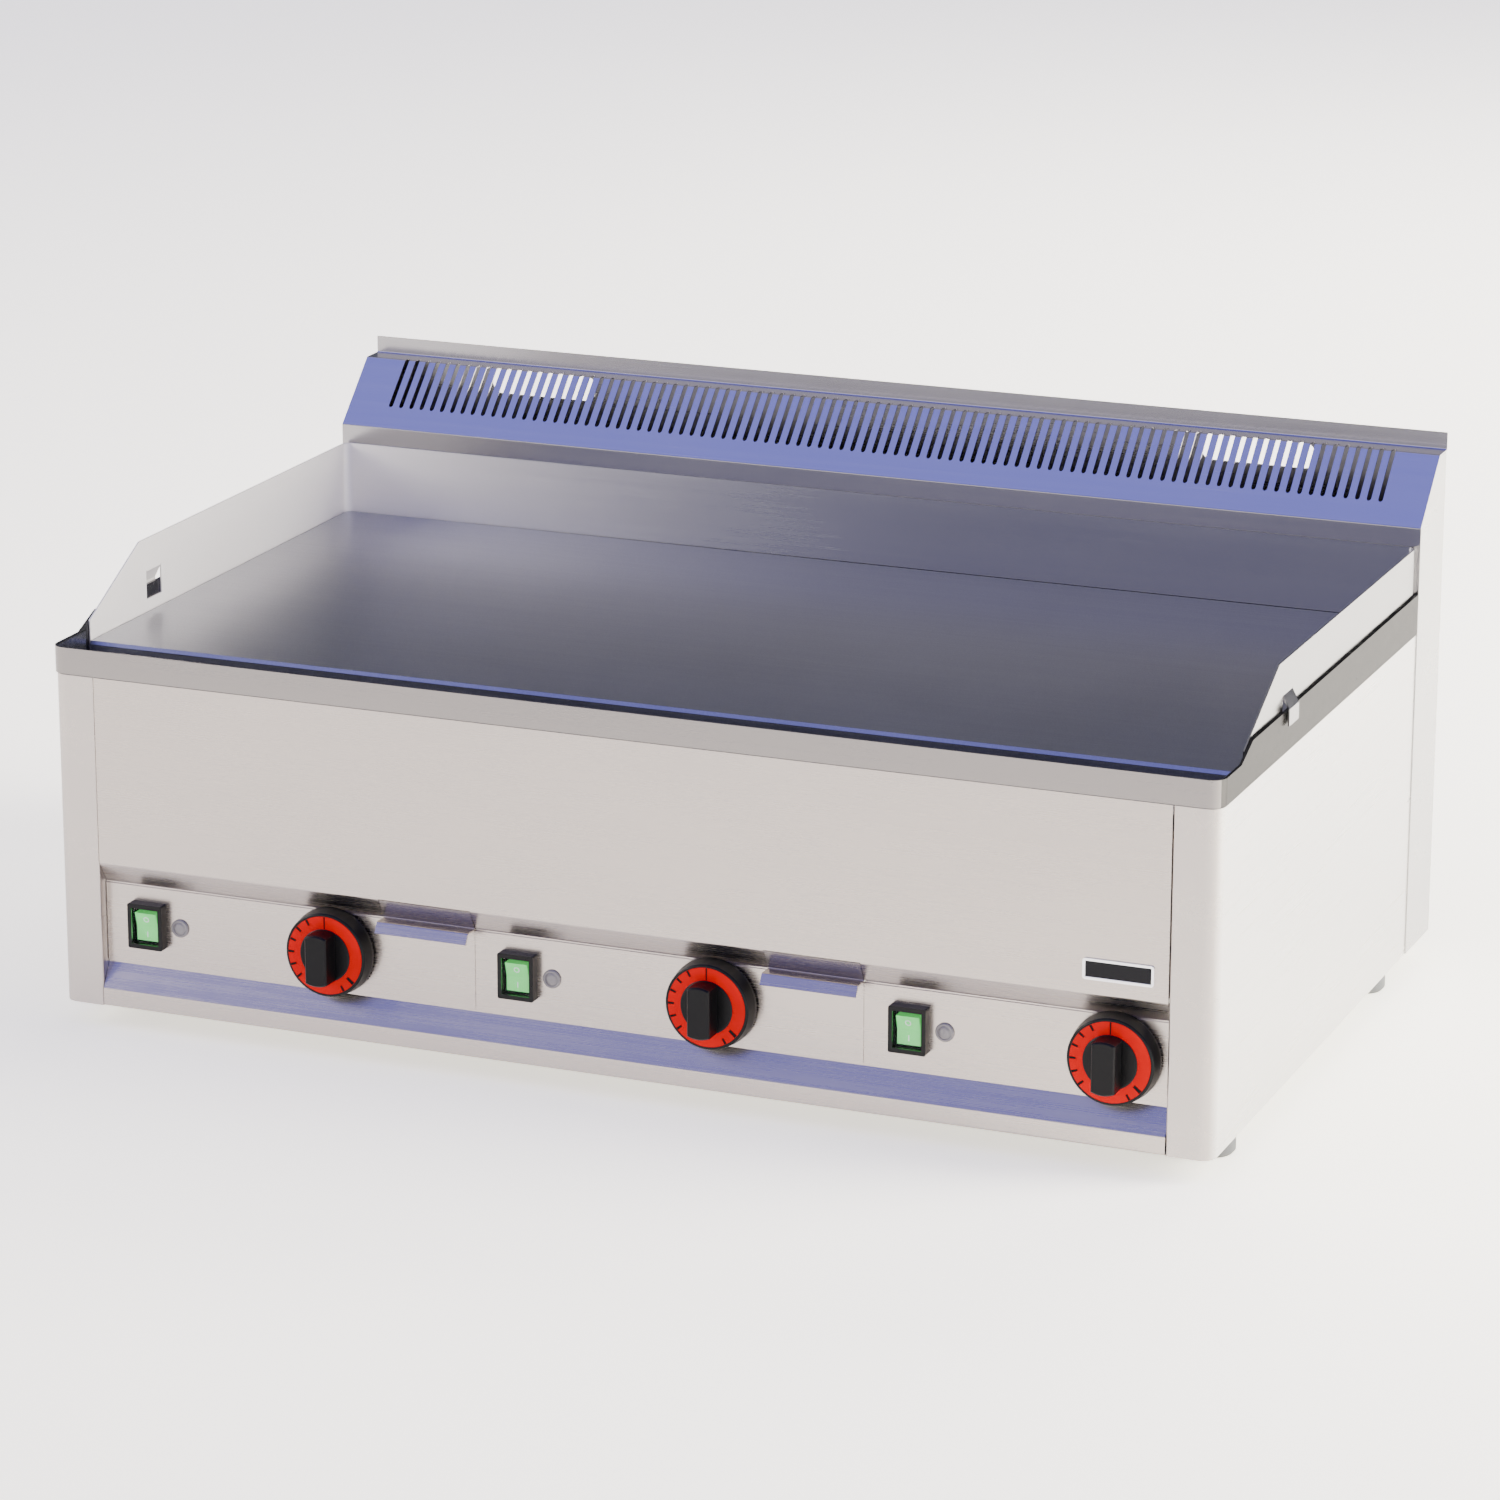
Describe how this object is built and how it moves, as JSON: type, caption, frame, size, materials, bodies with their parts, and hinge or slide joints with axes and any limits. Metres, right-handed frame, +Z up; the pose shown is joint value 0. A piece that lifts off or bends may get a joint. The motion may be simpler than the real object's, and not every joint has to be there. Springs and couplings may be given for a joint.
{
  "type": "flat top griddle",
  "caption": "Countertop electric flat top griddle with a steel plate, front grease channel, lift-off splash guard, pull-out grease drawers, rotary controls and a slotted rear air duct.",
  "frame": {"origin": "on the surface the feet stand on, below the middle of the whole", "axes": "+X to the user's right, +Y to the back, +Z up"},
  "size_m": [0.996, 0.656, 0.4555],
  "materials": {
    "casing_steel": "satin brushed stainless",
    "frame_steel": "satin brushed stainless",
    "guard_steel": "satin brushed stainless",
    "duct_steel": "satin brushed stainless",
    "inner_steel": "mill finish galvanised",
    "plate_steel": "ground steel",
    "element_steel": "oxidised tube",
    "insulation_wool": "mineral wool",
    "knob_black": "satin",
    "dial_red": "printed",
    "switch_black": "satin",
    "rocker_green": "translucent",
    "clear_cover": "clear",
    "lamp_grey": "translucent",
    "foot_rubber": "matt",
    "badge_plain": "plain",
    "device_black": "moulded",
    "gland_grey": "moulded",
    "screw_steel": "bright",
    "shaft_steel": "turned"
  },
  "bodies": {
    "casing": {"side_panel_left": "casing_steel", "side_panel_right": "casing_steel", "front_panel": "casing_steel", "control_plate_left": "casing_steel", "control_plate_middle": "casing_steel", "control_plate_right": "casing_steel", "top_frame": "frame_steel", "grease_channel": "frame_steel", "duct_cover": "duct_steel", "rear_casing": "duct_steel", "base_pan": "inner_steel", "plate_rail_left": "inner_steel", "plate_rail_right": "inner_steel", "plate_rail_rear": "inner_steel", "heat_shield": "inner_steel", "drawer_guide_left": "inner_steel", "drawer_guide_right": "inner_steel", "drain_spouts": "inner_steel", "element_clamps": "inner_steel", "griddle_plate": "plate_steel", "heating_element_left": "element_steel", "heating_element_middle": "element_steel", "heating_element_right": "element_steel", "insulation": "insulation_wool", "switch_frame_left": "switch_black", "switch_frame_middle": "switch_black", "switch_frame_right": "switch_black", "switch_window_left": "clear_cover", "switch_window_middle": "clear_cover", "switch_window_right": "clear_cover", "lamp_lens_left": "lamp_grey", "lamp_lens_middle": "lamp_grey", "lamp_lens_right": "lamp_grey", "feet": "foot_rubber", "name_plate": "badge_plain", "thermostat_left": "device_black", "thermostat_middle": "device_black", "thermostat_right": "device_black", "safety_limiters": "device_black", "terminal_block": "device_black", "lamp_bodies": "device_black", "cable_gland": "gland_grey", "casing_screws": "screw_steel"},
    "knob_left": {"knob_left": "knob_black", "dial_ring_left": "dial_red", "spindle_left": "shaft_steel"},
    "rocker_left": {"rocker_left": "rocker_green"},
    "knob_middle": {"knob_middle": "knob_black", "dial_ring_middle": "dial_red", "spindle_middle": "shaft_steel"},
    "rocker_middle": {"rocker_middle": "rocker_green"},
    "knob_right": {"knob_right": "knob_black", "dial_ring_right": "dial_red", "spindle_right": "shaft_steel"},
    "rocker_right": {"rocker_right": "rocker_green"},
    "drawer_left": {"drawer_tray_left": "inner_steel", "drawer_pull_left": "casing_steel"},
    "drawer_right": {"drawer_tray_right": "inner_steel", "drawer_pull_right": "casing_steel"},
    "guard": {"splash_guard": "guard_steel"}
  },
  "joints": [
    {"name": "knob_left_turn", "type": "hinge", "parent": "casing", "child": "knob_left", "pos_m": [-0.2495, -0.293, 0.092], "axis": [0, 1, 0], "range_deg": [0, 270]},
    {"name": "knob_middle_turn", "type": "hinge", "parent": "casing", "child": "knob_middle", "pos_m": [0.082, -0.293, 0.092], "axis": [0, 1, 0], "range_deg": [0, 270]},
    {"name": "knob_right_turn", "type": "hinge", "parent": "casing", "child": "knob_right", "pos_m": [0.4135, -0.293, 0.092], "axis": [0, 1, 0], "range_deg": [0, 270]},
    {"name": "rocker_left_tip", "type": "hinge", "parent": "casing", "child": "rocker_left", "pos_m": [-0.4172, -0.292, 0.092], "axis": [-1, 0, 0], "range_deg": [0, 16]},
    {"name": "rocker_middle_tip", "type": "hinge", "parent": "casing", "child": "rocker_middle", "pos_m": [-0.0857, -0.292, 0.092], "axis": [-1, 0, 0], "range_deg": [0, 16]},
    {"name": "rocker_right_tip", "type": "hinge", "parent": "casing", "child": "rocker_right", "pos_m": [0.2458, -0.292, 0.092], "axis": [-1, 0, 0], "range_deg": [0, 16]},
    {"name": "drawer_left_slide", "type": "slide", "parent": "casing", "child": "drawer_left", "axis": [0, -1, 0], "range_m": [0, 0.2]},
    {"name": "drawer_right_slide", "type": "slide", "parent": "casing", "child": "drawer_right", "axis": [0, -1, 0], "range_m": [0, 0.2]},
    {"name": "guard_lift", "type": "slide", "parent": "casing", "child": "guard", "axis": [0, 0, 1], "range_m": [0, 0.08]}
  ]
}
